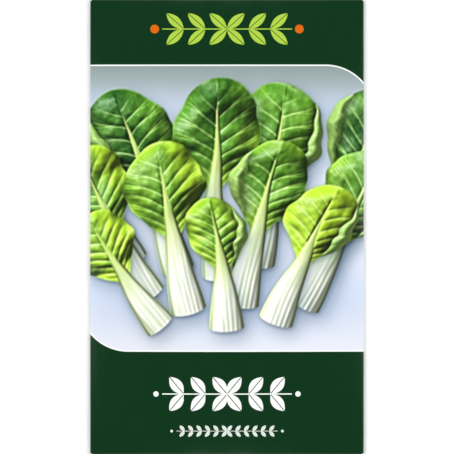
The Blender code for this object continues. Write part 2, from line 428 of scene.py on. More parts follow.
def cut_out(leaf):
    """Its outline. The blade's half width eases up from the waist to the fullest place and rounds off
    as a circle does, with a wavy margin; the stalk's tapers to a midrib, and its foot is rounded."""
    s = leaf.s
    leaf.grow = ease(WAIST, FULLEST, s)
    round_off = np.sqrt(np.clip(1 - ((s - FULLEST) / (1 - FULLEST)) ** 2, 0, 1))
    ripple = 0.050 * np.sin(2 * np.pi * (3.1 * s + 0.37 * leaf.flank + leaf.phase[0]))
    ripple = ripple + 0.022 * np.sin(2 * np.pi * (8 * s + 0.61 * leaf.flank + leaf.phase[1]))
    swollen = np.where(s < FULLEST, leaf.grow, round_off)
    leaf.blade = leaf.width * swollen * (1 + ripple * ease(0, 0.5, leaf.grow))
    taper = (1 - 0.5 * ease(0, 0.5, s)) * (1 - ease(0.30, 0.94, s)) ** 1.3
    leaf.stalk = leaf.stalk_width * taper + 0.18 * ease(0.95, 0.80, s)
    foot = np.sqrt(np.clip(1 - (np.minimum(s, 0.035) / 0.035 - 1) ** 2, 0, 1))
    inside = np.maximum(leaf.blade, leaf.stalk) * foot - np.abs(leaf.across)
    slope_y, slope_x = np.gradient(inside, DOT)
    leaf.inside = inside / np.clip(np.hypot(slope_x, slope_y), 1, 8)
    leaf.cover = np.clip(leaf.inside / DOT + 0.5, 0, 1) * (s > 0) * (s < 1)
    leaf.rim = np.clip(1 - leaf.inside / (0.6 * leaf.width), 0, 1)
    leaf.out = np.clip(np.abs(leaf.across) / np.maximum(leaf.blade, 0.2), 0, 1.2)


def vein(leaf):
    """Its veins, each a bell curve round a line. A side vein is where a count along the leaf, less an
    arch towards the margin, comes to a whole number; it forks, and a fine net fills the gaps."""
    s, out, across, along = leaf.s, leaf.out, leaf.across, leaf.along
    forward = s - (0.10 + 0.14 * (1 - s)) * np.minimum(out, 1) ** 0.8
    count = VEINS * forward + 0.5 * leaf.right_half + 0.26 * swell(across, along, 9.0, leaf.draw)
    leaf.gap = np.abs(count - np.round(count))
    spacing = leaf.length / VEINS * 0.8
    thick = (0.30 - 0.20 * np.minimum(out, 1)) * (0.55 + 0.45 * ease(1.0, 0.4, s))
    on_blade = ease(1.02, 0.80, out) * ease(0.3, 0.44, s) * ease(0.97, 0.86, s)
    leaf.veins = bell(leaf.gap * spacing, thick) * on_blade
    forks = bell((leaf.gap - 0.30 * ease(0.25, 0.9, out)) * spacing, 0.14)
    leaf.forks = forks * ease(0.3, 0.5, out) * ease(1.0, 0.85, out) * ease(0.4, 0.5, s) * ease(0.95, 0.8, s)
    net = bell(swell(across, along, 1.7, leaf.draw), 0.10)
    net = np.maximum(net, 0.8 * bell(swell(across, along, 1.1, leaf.draw), 0.13))
    leaf.net = net * ease(0.4, 0.55, s) * (1 - leaf.veins)


def emboss(leaf):
    """Its height in mm: wide folds and a margin that falls away in waves, quilting that is highest half
    way between two veins, and a round stalk with fine ribs, which takes the blade's place."""
    s, across, along, draw = leaf.s, leaf.across, leaf.along, leaf.draw
    leaf.ridge = np.clip(1 - (across / np.maximum(leaf.stalk, 0.05)) ** 2, 0, 1)
    leaf.on_stalk = ease(0.0, 0.35, leaf.ridge) * ease(0.95, 0.86, s)
    broad = 2.4 * billow(across, along, 19.0, draw) - 2.2 * leaf.rim**2
    frill = np.sin(2 * np.pi * (3.9 * s + 0.4 * leaf.flank + leaf.phase[2])) * ease(0.3, 0.6, s)
    leaf.broad = broad + 1.2 * leaf.rim**3 * frill
    quilt = 0.30 * np.sin(np.pi * np.clip(leaf.gap, 0, 0.5)) ** 0.8 * ease(1.05, 0.6, leaf.out)
    quilt = quilt * ease(0.98, 0.8, s) * ease(0.0, 1.3, np.abs(across))
    quilt = quilt + 0.17 * swell(across, along, 2.4, draw) + 0.07 * swell(across, along, 1.2, draw)
    leaf.quilt = quilt - 0.25 * bell(across, 1.1) * ease(0.95, 0.7, s)
    ribs = np.cos(across * 4.65 + 1.2 * swell(across, along / 4, 4.0, draw)) * ease(0.55, 0.0, s)
    stem = 0.62 * leaf.stalk * np.sqrt(leaf.ridge) + 0.07 * ribs + 0.4 * billow(across, along / 3, 6.0, draw)
    on_blade = leaf.broad * (1 - 0.8 * leaf.on_stalk) + leaf.quilt * (1 - leaf.on_stalk)
    leaf.height = on_blade * ease(0, 0.8, leaf.grow) + stem * leaf.on_stalk


def tint(leaf):
    """Its colours: deeper in the folds and on one half, fresher where it is thin, pale on its veins and
    stalk. The relief's light multiplies them, and its glints go over them."""
    s, ridge, on_stalk = leaf.s, leaf.ridge, leaf.on_stalk
    shade, shine = lit(softened(leaf.height, 0.1))
    sheen = lit(softened(leaf.broad + 0.5 * leaf.quilt, 0.8))[1]
    depth = leaf.tone + 0.30 * billow(leaf.across, leaf.along, 14.0, leaf.draw)
    depth = depth + 0.16 * (np.minimum(leaf.out, 1) - 0.5) + 0.20 * (shade - 1) + 0.12 * (leaf.flank - 0.5)
    green = inked(srgb("#2c602c"), srgb("#649938"), ease(0.0, 0.5, depth))
    pale = inked(srgb("#c2d878"), srgb("#f1f5e8"), ease(0.74, 0.22, s))
    streaks = ease(-0.1, 0.8, billow(leaf.across * 2.6, leaf.along / 6, 3.0, leaf.draw))
    for code, share in (
        ("#accd3c", ease(0.5, 1.05, depth)),
        ("#b8dc7c", 0.18 * leaf.net),
        ("#cdea96", 0.55 * leaf.forks),
        ("#cee898", 0.90 * leaf.veins),
        ("#b0cd5a", 0.45 * bell(leaf.inside, 0.25)),
        ("#c6d868", 0.65 * ease(0.66, 0.36, s) * ease(1.0, 0.2, leaf.out)),
        ("#d6e6ae", 0.85 * ease(0.44, 0.30, s)),
    ):
        green = inked(green, srgb(code), share)
    flanks = ease(0.6, 0.0, ridge) * ease(0.0, 0.3, leaf.stalk / leaf.stalk_width)
    pale = inked(pale, srgb("#b4cc88"), 0.45 * flanks)
    pale = inked(pale, srgb("#bace8a"), 0.35 * streaks)
    colour = inked(green, pale, on_stalk)
    colour = colour * (1 + (0.82 - 0.32 * on_stalk) * (np.clip(shade, 0.3, 1.3) - 1))[..., None]
    colour = inked(colour, srgb("#cee4d6"), 0.34 * sheen**30 * (1 - on_stalk))
    return inked(colour, srgb("#eef7ee"), 0.30 * shine**60 * (1 - on_stalk) + 0.30 * shine**16 * on_stalk)


def turn_over(leaf, colour, turned):
    """One margin turned over in a crescent, paler, with its own round relief and the shade beside it.
    Its width is close to a parabola from half way up to near the tip, and in waves round that."""
    span = np.clip((leaf.s - 0.50) / 0.44, 0, 1)
    wave = 1 + 0.22 * np.sin(2 * np.pi * (2.6 * leaf.s + leaf.phase[3]))
    lip = abs(turned) * np.clip(4 * span * (1 - span), 0, 1) ** 1.4 * wave
    this_half = leaf.right_half if turned > 0 else 1 - leaf.right_half
    part = leaf.inside / np.maximum(lip, 0.05)
    on_lip = this_half * ease(1.03, 0.97, part) * (lip > 0.25)
    part = np.clip(part, 0, 1)
    crest = lip * (0.55 * np.sqrt(1 - (1 - part) ** 2) + 0.25 * np.sin(np.pi * part))
    crest = crest + 0.12 * swell(leaf.across, leaf.along, 1.5, leaf.draw) + 0.3 * leaf.quilt
    shade, shine = lit(softened(crest, 0.15))
    under_side = inked(srgb("#92b862"), srgb("#cee49e"), 0.8 * leaf.veins + 0.2 * leaf.net)
    under_side = inked(under_side, srgb("#bed682"), 0.5 * (1 - part))
    under_side = under_side * (1 + 0.6 * (np.clip(shade, 0.4, 1.3) - 1))[..., None]
    under_side = inked(under_side, srgb("#e8f3e4"), 0.3 * shine**14)
    gloom = this_half * np.exp(-np.maximum(leaf.inside - lip, 0)) * ease(0.2, 1.2, lip)
    gloom = gloom * (1 - leaf.on_stalk) * ease(0.3, 1.5, leaf.blade - leaf.stalk) * (1 - on_lip)
    return inked(colour * (1 - 0.45 * gloom)[..., None], under_side, on_lip)


def draw_leaf(picture, number, base, lean, length, width, stalk_width, bend, tone, turned):
    """One leaf over what is there. That lies in its shade first: wide and soft, and narrow and dark
    close by, each a softened copy of the outline moved away from the sun."""
    leaf = set_out(number, base, lean, length, width, stalk_width, bend)
    leaf.tone = tone
    cut_out(leaf)
    vein(leaf)
    emboss(leaf)
    colour = tint(leaf)
    if turned:
        colour = turn_over(leaf, colour, turned)
    gloom = 0.40 * cast(softened(leaf.cover, 2.2), 1.6, 2.2)
    gloom = gloom + 0.36 * cast(softened(leaf.cover, 0.6), 0.4, 0.5)
    shaded = picture[leaf.here] * (1 - gloom[..., None] * (1 - np.array([0.42, 0.50, 0.56])))
    picture[leaf.here] = inked(shaded, np.clip(colour, 0, 1), leaf.cover)


def draw_ground():
    """A pale table that darkens to grey towards its far edge, with the soft shade of all the leaves."""
    draw = np.random.default_rng(5)
    up = (picture_y - PICTURE_BOTTOM) / (PICTURE_TOP - PICTURE_BOTTOM)
    ground = inked(srgb("#f0f1f7"), srgb("#e8eef9"), ease(0.0, 0.45, up))
    ground = inked(ground, srgb("#ced9e7"), ease(0.66, 0.88, up))
    ground = inked(ground, srgb("#a6b3b1"), ease(0.84, 1.0, up))
    pool = np.exp(-((picture_x / 60) ** 2) - ((picture_y + 22) / 11) ** 2)
    ground = ground * (1 + 0.014 * billow(picture_x, picture_y, 26.0, draw))[..., None]
    return ground * (1 - 0.20 * pool[..., None] * (1 - np.array([0.35, 0.55, 0.8])))


# Each leaf, back to front: base, lean in degrees, length, half width, stalk's half width, bend, tone
# from deep to fresh, and how far its margin is turned over, with a sign for the side
LEAVES = (
    ((-27, -11), -30, 52, 11.5, 4.4, 0.05, 0.50, 0),
    ((25, -14), 24, 58, 13.0, 4.6, -0.05, 0.42, -4.0),
    ((-14, -14), -17, 58, 12.5, 4.8, -0.05, 0.40, -4.0),
    ((9, -12), 13, 55, 13.5, 4.6, -0.06, 0.58, 4.0),
    ((-2, -16), -5, 60, 13.0, 5.0, 0.07, 0.52, 0),
    ((-22, -21), -33, 49, 11.0, 4.6, 0.10, 0.80, 0),
    ((22, -24), 31, 51, 12.0, 4.8, -0.06, 0.70, 4.0),
    ((4, -24), 9, 51, 11.5, 5.0, 0.09, 0.66, -3.4),
    ((-11, -26), -14, 52, 12.0, 5.2, 0.06, 0.92, 0),
    ((14, -29), 19, 45, 10.5, 5.0, 0.10, 0.98, 3.2),
    ((-19, -30), -40, 40, 9.5, 4.6, 0.12, 1.02, 0),
    ((0, -31), -3, 40, 9.0, 5.0, -0.08, 0.86, 2.8),
)

picture = draw_ground()
for number, leaf in enumerate(LEAVES):
    draw_leaf(picture, number, *leaf)


def at_points(field, places):
    """The picture's colour at each place in mm, between the four dots round it."""
    column = np.clip((places[:, 0] - PICTURE_LEFT) / DOT, 0, field.shape[1] - 1.001)
    row = np.clip((places[:, 1] - PICTURE_BOTTOM) / DOT, 0, field.shape[0] - 1.001)
    left, low = column.astype(int), row.astype(int)
    part_x, part_y = (column - left)[:, None], (row - low)[:, None]
    below = field[low, left] * (1 - part_x) + field[low, left + 1] * part_x
    above = field[low + 1, left] * (1 - part_x) + field[low + 1, left + 1] * part_x
    return below * (1 - part_y) + above * part_y


# The sheet's points lie 0.33 mm apart. So the picture is averaged over about that width, which keeps
# its edges smooth, and then its greys are sharpened over a wider one. Its lightest tone still has a
# little ink.
EDGE_REACH, SHARPEN_REACH = 0.1, 0.4
SHARPEN, CONTRAST, LIGHTEST = 1.15, 1.28, 0.95
RED_GREEN_BLUE_TO_GREY = np.array([0.30, 0.59, 0.11], np.float32)
smooth = np.stack([softened(channel, EDGE_REACH) for channel in np.moveaxis(picture, -1, 0)], -1)
grey = smooth @ RED_GREEN_BLUE_TO_GREY
sharp = smooth + SHARPEN * (grey - softened(grey, SHARPEN_REACH))[..., None]
picture = np.clip(sharp, 0, 1) ** CONTRAST
dots = LIGHTEST * linear(at_points(picture, flat_places / MM))
window_picture = sheet_mesh.color_attributes.new("window_picture", "FLOAT_COLOR", "POINT")
window_picture.data.foreach_set("color", np.c_[dots, np.ones(len(dots))].astype(np.float32).ravel())


# The printed side
# The sheet is offset printed in flat dark green, with the window left for the picture, and then
# varnished. Garlands of leaves fill the front's head and foot, and the back has a pale panel with
# room for notes and a sowing calendar. The ink cracks along the folds, and handling leaves dents.


def join(node, inputs):
    """Joins each input to a socket, or to the first output in use of a node, or gives it a value."""
    for name, value in inputs.items():
        if isinstance(value, bpy.types.Node):
            value = next(output for output in value.outputs if output.enabled)
        if isinstance(value, bpy.types.NodeSocket):
            node.id_data.links.new(value, node.inputs[name])
        else:
            node.inputs[name].default_value = value


def add(tree, kind, *inputs, **named):
    """Adds a node. Its inputs come in order, or by their names, which have a capital, and its settings
    by theirs, which have none."""
    node = tree.nodes.new("ShaderNode" + kind)
    for name in [name for name in named if name.islower()]:
        setattr(node, name, named.pop(name))
    join(node, {**dict(enumerate(inputs)), **named})
    return node


def new_material(name, mesh):
    """A material on a mesh: its node tree, and its shader."""
    material = bpy.data.materials.new(name)
    material.use_nodes = True
    mesh.materials.append(material)
    return material.node_tree, material.node_tree.nodes["Principled BSDF"]


def new_stencil(name, vectors, numbers):
    """A group that turns a place on the flat sheet, and the sizes it is given, into one number."""
    group = bpy.data.node_groups.new(name, "ShaderNodeTree")
    for label in vectors:
        group.interface.new_socket(label, in_out="INPUT", socket_type="NodeSocketVector")
    for label in numbers:
        group.interface.new_socket(label, in_out="INPUT", socket_type="NodeSocketFloat")
    group.interface.new_socket("Value", in_out="OUTPUT", socket_type="NodeSocketFloat")
    return group, group.nodes.new("NodeGroupInput").outputs, group.nodes.new("NodeGroupOutput")


# How far a place lies outside a box with rounded corners: inside it the distance is below 0
tree, given, result = new_stencil("rounded_box", ("Place", "Half"), ("Corner",))
corners = add(tree, "CombineXYZ", given["Corner"], given["Corner"])
away = add(tree, "VectorMath", given["Place"], operation="ABSOLUTE")
away = add(tree, "VectorMath", away, given["Half"], operation="SUBTRACT")
away = add(tree, "VectorMath", away, corners, operation="ADD")
outward = add(tree, "VectorMath", away, (0, 0, 0), operation="MAXIMUM")
outward = add(tree, "VectorMath", outward, (1, 1, 0), operation="MULTIPLY")
outward = add(tree, "VectorMath", outward, operation="LENGTH")
away_x, away_y, _ = add(tree, "SeparateXYZ", away).outputs
inward = add(tree, "Math", away_x, away_y, operation="MAXIMUM")
inward = add(tree, "Math", inward, 0.0, operation="MINIMUM")
edge = add(tree, "Math", outward, inward, operation="ADD")
edge = add(tree, "Math", edge, given["Corner"], operation="SUBTRACT")
join(result, {"Value": edge})
box_stencil = tree

# A garland, 1 in its ink: at each step along a stem a lens-shaped leaf leans outwards over it and
# one under it. A leaf's half width is its fullness times 1 - t squared, with t from -1 to 1 along it.
INK_EDGE = 0.05 * MM
leaf_sizes = ("Step", "Steps", "Lean", "Length", "Fullness")
tree, given, result = new_stencil("leaf_garland", ("Place",), leaf_sizes)
mirrored = add(tree, "VectorMath", given["Place"], operation="ABSOLUTE")
out_along, off_stem, _ = add(tree, "SeparateXYZ", mirrored).outputs
in_step = add(tree, "Math", out_along, given["Step"], operation="MODULO")
leaning = add(tree, "CombineXYZ", in_step, off_stem)
leaning = add(tree, "VectorRotate", leaning, Angle=given["Lean"], rotation_type="Z_AXIS")
along_leaf, off_midrib, _ = add(tree, "SeparateXYZ", leaning).outputs
share = add(tree, "Math", along_leaf, given["Length"], operation="DIVIDE")
share = add(tree, "Math", share, 2.0, -1.0, operation="MULTIPLY_ADD")
share = add(tree, "Math", share, share, operation="MULTIPLY")
half_wide = add(tree, "Math", 1.0, share, operation="SUBTRACT")
half_wide = add(tree, "Math", half_wide, given["Fullness"], operation="MULTIPLY")
off_midrib = add(tree, "Math", off_midrib, operation="ABSOLUTE")
leaf = add(tree, "Math", half_wide, off_midrib, operation="SUBTRACT")
leaf = add(tree, "MapRange", leaf, -INK_EDGE, INK_EDGE)
midrib = add(tree, "Math", off_midrib, given["Fullness"], operation="DIVIDE")
midrib = add(tree, "MapRange", midrib, 0.05, 0.09)
leaf = add(tree, "Math", leaf, midrib, operation="MULTIPLY")
stem = add(tree, "Math", given["Fullness"], 0.08, 0.04 * MM, operation="MULTIPLY_ADD")
stem = add(tree, "Math", stem, off_stem, operation="SUBTRACT")
stem = add(tree, "MapRange", stem, -INK_EDGE, INK_EDGE)
in_ink = add(tree, "Math", leaf, stem, operation="MAXIMUM")
reach = add(tree, "Math", given["Step"], given["Steps"], operation="MULTIPLY")
reach = add(tree, "Math", out_along, reach, operation="LESS_THAN")
in_ink = add(tree, "Math", in_ink, reach, operation="MULTIPLY")
join(result, {"Value": in_ink})
garland_stencil = tree

tree, shader = new_material("offset_printed_varnished_label_paper", sheet_mesh)
place = add(tree, "Attribute", attribute_name="flat_blank").outputs["Vector"]
u, v, _ = add(tree, "SeparateXYZ", place).outputs
off_centre = add(tree, "Math", u, operation="ABSOLUTE")

# The window is rounded at two corners out of four, where its x and y have the same sign. The
# picture ends 0.4 mm inside it, so that a white hairline is left, and just past the side folds.
CORNER_ROUND = 14.8 * MM
HAIRLINE = 0.40 * MM
BLEED_END = HALF_WIDTH + 1.4 * MM
WINDOW_HALF = (WINDOW_HALF_WIDTH, (WINDOW_TOP - WINDOW_BOTTOM) / 2, 0)
WINDOW_MIDDLE = (0, (WINDOW_TOP + WINDOW_BOTTOM) / 2, 0)
in_frame = add(tree, "VectorMath", place, WINDOW_MIDDLE, operation="SUBTRACT")
frame_x, frame_y, _ = add(tree, "SeparateXYZ", in_frame).outputs
corner = add(tree, "Math", frame_x, frame_y, operation="MULTIPLY")
corner = add(tree, "Math", corner, 0.0, operation="GREATER_THAN")
corner = add(tree, "Math", corner, CORNER_ROUND, operation="MULTIPLY")
window = add(tree, "Group", Place=in_frame, Half=WINDOW_HALF, Corner=corner, node_tree=box_stencil)
past_bleed = add(tree, "Math", off_centre, BLEED_END, operation="SUBTRACT")
window_edge = add(tree, "Math", window, past_bleed, operation="MAXIMUM")
in_window = add(tree, "MapRange", window_edge, INK_EDGE, -INK_EDGE)
picture_edge = add(tree, "Math", window, HAIRLINE, operation="ADD")
picture_edge = add(tree, "Math", picture_edge, past_bleed, operation="MAXIMUM")
in_picture = add(tree, "MapRange", picture_edge, INK_EDGE, -INK_EDGE)

# The ornaments: each garland's height on the front, step, steps, lean, leaf length and fullness,
# and each pair of dots' distance from the middle, height and radius
HEAD, FOOT, UNDER_FOOT = 58.6 * MM, -49.4 * MM, -60.4 * MM
ornaments = []
for height, step, steps, lean, length, fullness, code in (
    (HEAD, 6.4 * MM, 3, -42, 7.0 * MM, 1.45 * MM, "#aacd46"),
    (FOOT, 6.4 * MM, 3, -50, 6.6 * MM, 1.75 * MM, "#f4f7f2"),
    (UNDER_FOOT, 2.5 * MM, 6, -48, 2.3 * MM, 0.50 * MM, "#e4ebe3"),
):
    centred = add(tree, "VectorMath", place, (0, height, 0), operation="SUBTRACT")
    sizes = dict(zip(leaf_sizes, (step, steps, math.radians(lean), length, fullness)))
    garland = add(tree, "Group", Place=centred, **sizes, node_tree=garland_stencil)
    ornaments.append((garland, code))
both_sides = add(tree, "CombineXYZ", off_centre, v)
for across, height, radius, code in (
    (21.4 * MM, HEAD, 1.3 * MM, "#d5660a"),
    (21.0 * MM, FOOT, 0.8 * MM, "#f4f7f2"),
    (16.4 * MM, UNDER_FOOT, 0.4 * MM, "#e4ebe3"),
):
    dot = add(tree, "VectorMath", both_sides, (across, height, 0), operation="DISTANCE")
    dot = add(tree, "MapRange", dot, radius + INK_EDGE, radius - INK_EDGE)
    ornaments.append((dot, code))

# The back's pale panel, over the middle of the back
BACK_MIDDLE = (fold_end_right + RIGHT_LINE, -2.0 * MM, 0)
PANEL_HALF, PANEL_CORNER = (33 * MM, 45 * MM, 0), 5 * MM
on_back = add(tree, "VectorMath", place, BACK_MIDDLE, operation="SUBTRACT")
panel = add(tree, "Group", Place=on_back, Half=PANEL_HALF, Corner=PANEL_CORNER, node_tree=box_stencil)
in_panel = add(tree, "MapRange", panel, INK_EDGE, -INK_EDGE)

# The calendar at its foot: a box for each of twelve months in three rows. In each row a run of
# months is inked, and its middle is RUN_STEP months after that of the row below.
MONTHS, MONTH, ROWS, ROW = 12, 5.0 * MM, 3, 7.0 * MM
CALENDAR_BOTTOM = -34 * MM
MONTH_HALF, MONTH_CORNER = (2.1 * MM, 2.7 * MM, 0), 0.7 * MM
FIRST_RUN, RUN_STEP, RUN_HALF = 2.6, 2.4, 1.7
from_corner = (MONTHS / 2 * MONTH, -CALENDAR_BOTTOM, 0)
months = add(tree, "VectorMath", on_back, from_corner, operation="ADD")
months = add(tree, "VectorMath", months, (MONTH, ROW, 1), operation="DIVIDE")
month = add(tree, "VectorMath", months, operation="FLOOR")
in_month = add(tree, "VectorMath", months, month, operation="SUBTRACT")
in_month = add(tree, "VectorMath", in_month, (0.5, 0.5, 0), operation="SUBTRACT")
in_month = add(tree, "VectorMath", in_month, (MONTH, ROW, 0), operation="MULTIPLY")
month_box = add(tree, "Group", Place=in_month, Half=MONTH_HALF, Corner=MONTH_CORNER, node_tree=box_stencil)
month_box = add(tree, "MapRange", month_box, INK_EDGE, -INK_EDGE)
column, row, _ = add(tree, "SeparateXYZ", month).outputs
in_columns = add(tree, "Math", column, (MONTHS - 1) / 2, MONTHS / 2, operation="COMPARE")
in_rows = add(tree, "Math", row, (ROWS - 1) / 2, ROWS / 2, operation="COMPARE")
in_table = add(tree, "Math", in_columns, in_rows, operation="MULTIPLY")
in_table = add(tree, "Math", in_table, month_box, operation="MULTIPLY")
run_middle = add(tree, "Math", row, RUN_STEP, FIRST_RUN, operation="MULTIPLY_ADD")
in_run = add(tree, "Math", column, run_middle, RUN_HALF, operation="COMPARE")
in_run = add(tree, "Math", in_run, in_table, operation="MULTIPLY")
top_row = add(tree, "Math", row, ROWS - 1.5, operation="GREATER_THAN")
in_top_run = add(tree, "Math", in_run, top_row, operation="MULTIPLY")

# Over the calendar, ruled lines for the gardener's own notes. Heights are counted from five lines
# down, so that no remainder is negative among them.
LINES, LINE_PITCH, LINE_HALF_LENGTH, LINE_HALF_THICK = 4, 7 * MM, 28 * MM, 0.12 * MM
NOTES_MIDDLE, NOTES_HALF_HEIGHT = 7 * MM, LINES / 2 * LINE_PITCH
across, up, _ = add(tree, "SeparateXYZ", on_back).outputs
over_line = add(tree, "Math", up, 5 * LINE_PITCH, operation="ADD")
over_line = add(tree, "Math", over_line, LINE_PITCH, operation="MODULO")
notes = add(tree, "Math", over_line, LINE_PITCH / 2, LINE_HALF_THICK, operation="COMPARE")
in_notes = add(tree, "Math", up, NOTES_MIDDLE, NOTES_HALF_HEIGHT, operation="COMPARE")
notes = add(tree, "Math", notes, in_notes, operation="MULTIPLY")
in_notes = add(tree, "Math", across, 0.0, LINE_HALF_LENGTH, operation="COMPARE")
notes = add(tree, "Math", notes, in_notes, operation="MULTIPLY")

# Over the notes, three rings with a sprout of four leaves in each, which is a garland of one step
RINGS_HALF_WIDTH, RING_PITCH, RING_HEIGHT = 30 * MM, 20 * MM, 32 * MM
RING_RADIUS, RING_HALF_THICK = 7.4 * MM, 0.22 * MM
SPROUT_SIZES = dict(zip(leaf_sizes, (5 * MM, 1, math.radians(-52), 5 * MM, 1.3 * MM)))
in_ring = add(tree, "Math", across, RINGS_HALF_WIDTH, operation="ADD")
in_ring = add(tree, "Math", in_ring, RING_PITCH, operation="MODULO")
in_ring = add(tree, "Math", in_ring, RING_PITCH / 2, operation="SUBTRACT")
over_ring = add(tree, "Math", up, RING_HEIGHT, operation="SUBTRACT")
ring_place = add(tree, "CombineXYZ", over_ring, in_ring)
ring = add(tree, "VectorMath", ring_place, operation="LENGTH")
ring = add(tree, "Math", ring, RING_RADIUS, RING_HALF_THICK, operation="COMPARE")
sprout = add(tree, "Group", Place=ring_place, **SPROUT_SIZES, node_tree=garland_stencil)
pictogram = add(tree, "Math", ring, sprout, operation="MAXIMUM")
among_rings = add(tree, "Math", across, 0.0, RINGS_HALF_WIDTH, operation="COMPARE")
pictogram = add(tree, "Math", pictogram, among_rings, operation="MULTIPLY")

# The inks, one over another. The flat green is a little uneven, as a large flat of ink is.
MOTTLE = 1.6 * MM
mottle = add(tree, "TexNoise", Vector=place, Scale=1 / MOTTLE, Detail=2.0)
layers = add(tree, "Mix", mottle, A=ink("#032f14"), B=ink("#063417"), data_type="RGBA")
for share, code in (
    *ornaments,
    (in_window, "#f4f8f5"),
    (in_panel, "#e6e9da"),
    (in_table, "#c6d3b4"),
    (in_run, "#8dbb2b"),
    (in_top_run, "#e0912c"),
    (notes, "#8fa383"),
    (pictogram, "#1c4a26"),
):
    layers = add(tree, "Mix", share, A=layers, B=ink(code), data_type="RGBA")
drawn = add(tree, "Attribute", attribute_name="window_picture")
layers = add(tree, "Mix", in_picture, A=layers, B=drawn, data_type="RGBA")

# Wear: where the paper is bent hardest, along the crest of each fold and most at its ends, the ink
# has cracked off in specks of 0.2 to 0.5 mm and the white paper shows
SIDE_CREST = HALF_WIDTH + 0.12 * MM  # between the left fold's, which is 0.09 mm out, and the right one's
END_CREST = TOP_LINE + np.pi / 2 * END_ROUND
CRACK_REACH, CORNER_REACH, SPECK = 0.45 * MM, 4 * MM, 0.45 * MM
off_side = add(tree, "Math", off_centre, SIDE_CREST, operation="SUBTRACT")
off_side = add(tree, "Math", off_side, operation="ABSOLUTE")
off_end = add(tree, "Math", v, operation="ABSOLUTE")
off_end = add(tree, "Math", off_end, END_CREST, operation="SUBTRACT")
off_end = add(tree, "Math", off_end, operation="ABSOLUTE")
off_crest = add(tree, "Math", off_side, off_end, operation="MINIMUM")
at_crest = add(tree, "MapRange", off_crest, CRACK_REACH, 0.0)
off_corner = add(tree, "Math", off_side, off_end, operation="ADD")
at_corner = add(tree, "MapRange", off_corner, CORNER_REACH, 0.0, 0.0, 0.14)
specks = add(tree, "TexNoise", Vector=place, Scale=1 / SPECK, Detail=3.0, Roughness=0.65)
bent_hard = add(tree, "Math", at_crest, 0.34, specks, operation="MULTIPLY_ADD")
bent_hard = add(tree, "Math", bent_hard, at_corner, operation="ADD")
cracked = add(tree, "MapRange", bent_hard, 0.88, 1.0, 0.0, 0.6)
layers = add(tree, "Mix", cracked, A=layers, B=ink("#d9ddd2"), data_type="RGBA")

# Varnish on coated paper: a satin sheen, mottled by fibres that are drawn coarser than the real
# 0.02 mm so that they show, and faint dents from handling, which are the swayed edges of cells
FIBRE, DENT_PITCH, SWAY, SWAY_PITCH = 0.35 * MM, 25 * MM, 9 * MM, 12 * MM
grain = add(tree, "TexCoord").outputs["Object"]
fibre = add(tree, "TexNoise", Vector=grain, Scale=1 / FIBRE, Detail=3.0)
sheen = add(tree, "MapRange", fibre, 0.0, 1.0, 0.26, 0.38)
sway = add(tree, "TexNoise", Vector=grain, Scale=1 / SWAY_PITCH, Detail=2.0)
sway = add(tree, "VectorMath", sway.outputs["Color"], (SWAY, SWAY, 0), operation="MULTIPLY")
swayed = add(tree, "VectorMath", grain, sway, operation="ADD")
dent = add(tree, "TexVoronoi", Vector=swayed, Scale=1 / DENT_PITCH, feature="DISTANCE_TO_EDGE")
dent = add(tree, "MapRange", dent, 0.0, 0.035, interpolation_type="SMOOTHSTEP")
dent = add(tree, "Bump", Strength=0.18, Distance=0.06 * MM, Height=dent)
tooth = add(tree, "Bump", Strength=0.25, Distance=0.01 * MM, Height=fibre, Normal=dent)
join(shader, {"Base Color": layers, "Roughness": sheen, "Normal": tooth, "Specular IOR Level": 0.3})

# The bare side and the cut edges: the paper's own white, rough, with short fibres
BARE_FIBRE = 0.5 * MM
tree, shader = new_material("uncoated_paper_white", sheet_mesh)
grain = add(tree, "TexCoord").outputs["Object"]
fibre = add(tree, "TexNoise", Vector=grain, Scale=1 / BARE_FIBRE, Detail=4.0, Roughness=0.6)
white = add(tree, "Mix", fibre, A=ink("#eceae3"), B=ink("#f8f7f2"), data_type="RGBA")
tooth = add(tree, "Bump", Strength=0.4, Distance=0.02 * MM, Height=fibre)
join(shader, {"Base Color": white, "Roughness": 0.85, "Normal": tooth})

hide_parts("paper_envelope")
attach(sheet, "root")


# The seeds
# The packet holds dry seeds of 1.8 mm at most, threshed, cleaned and poured in loose. Each is nearly
# a ball, a little flattened, with a thin matt coat from red-brown to nearly black.

SEED_ACROSS = 1.8 * MM
SEED_COUNT = 120
heap_low, heap_high = np.array(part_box("seeds"))
heap_middle = (heap_low + heap_high) / 2
heap_reach = (heap_high - heap_low) / 2 - SEED_ACROSS / 2
seed_draw = np.random.default_rng(26)

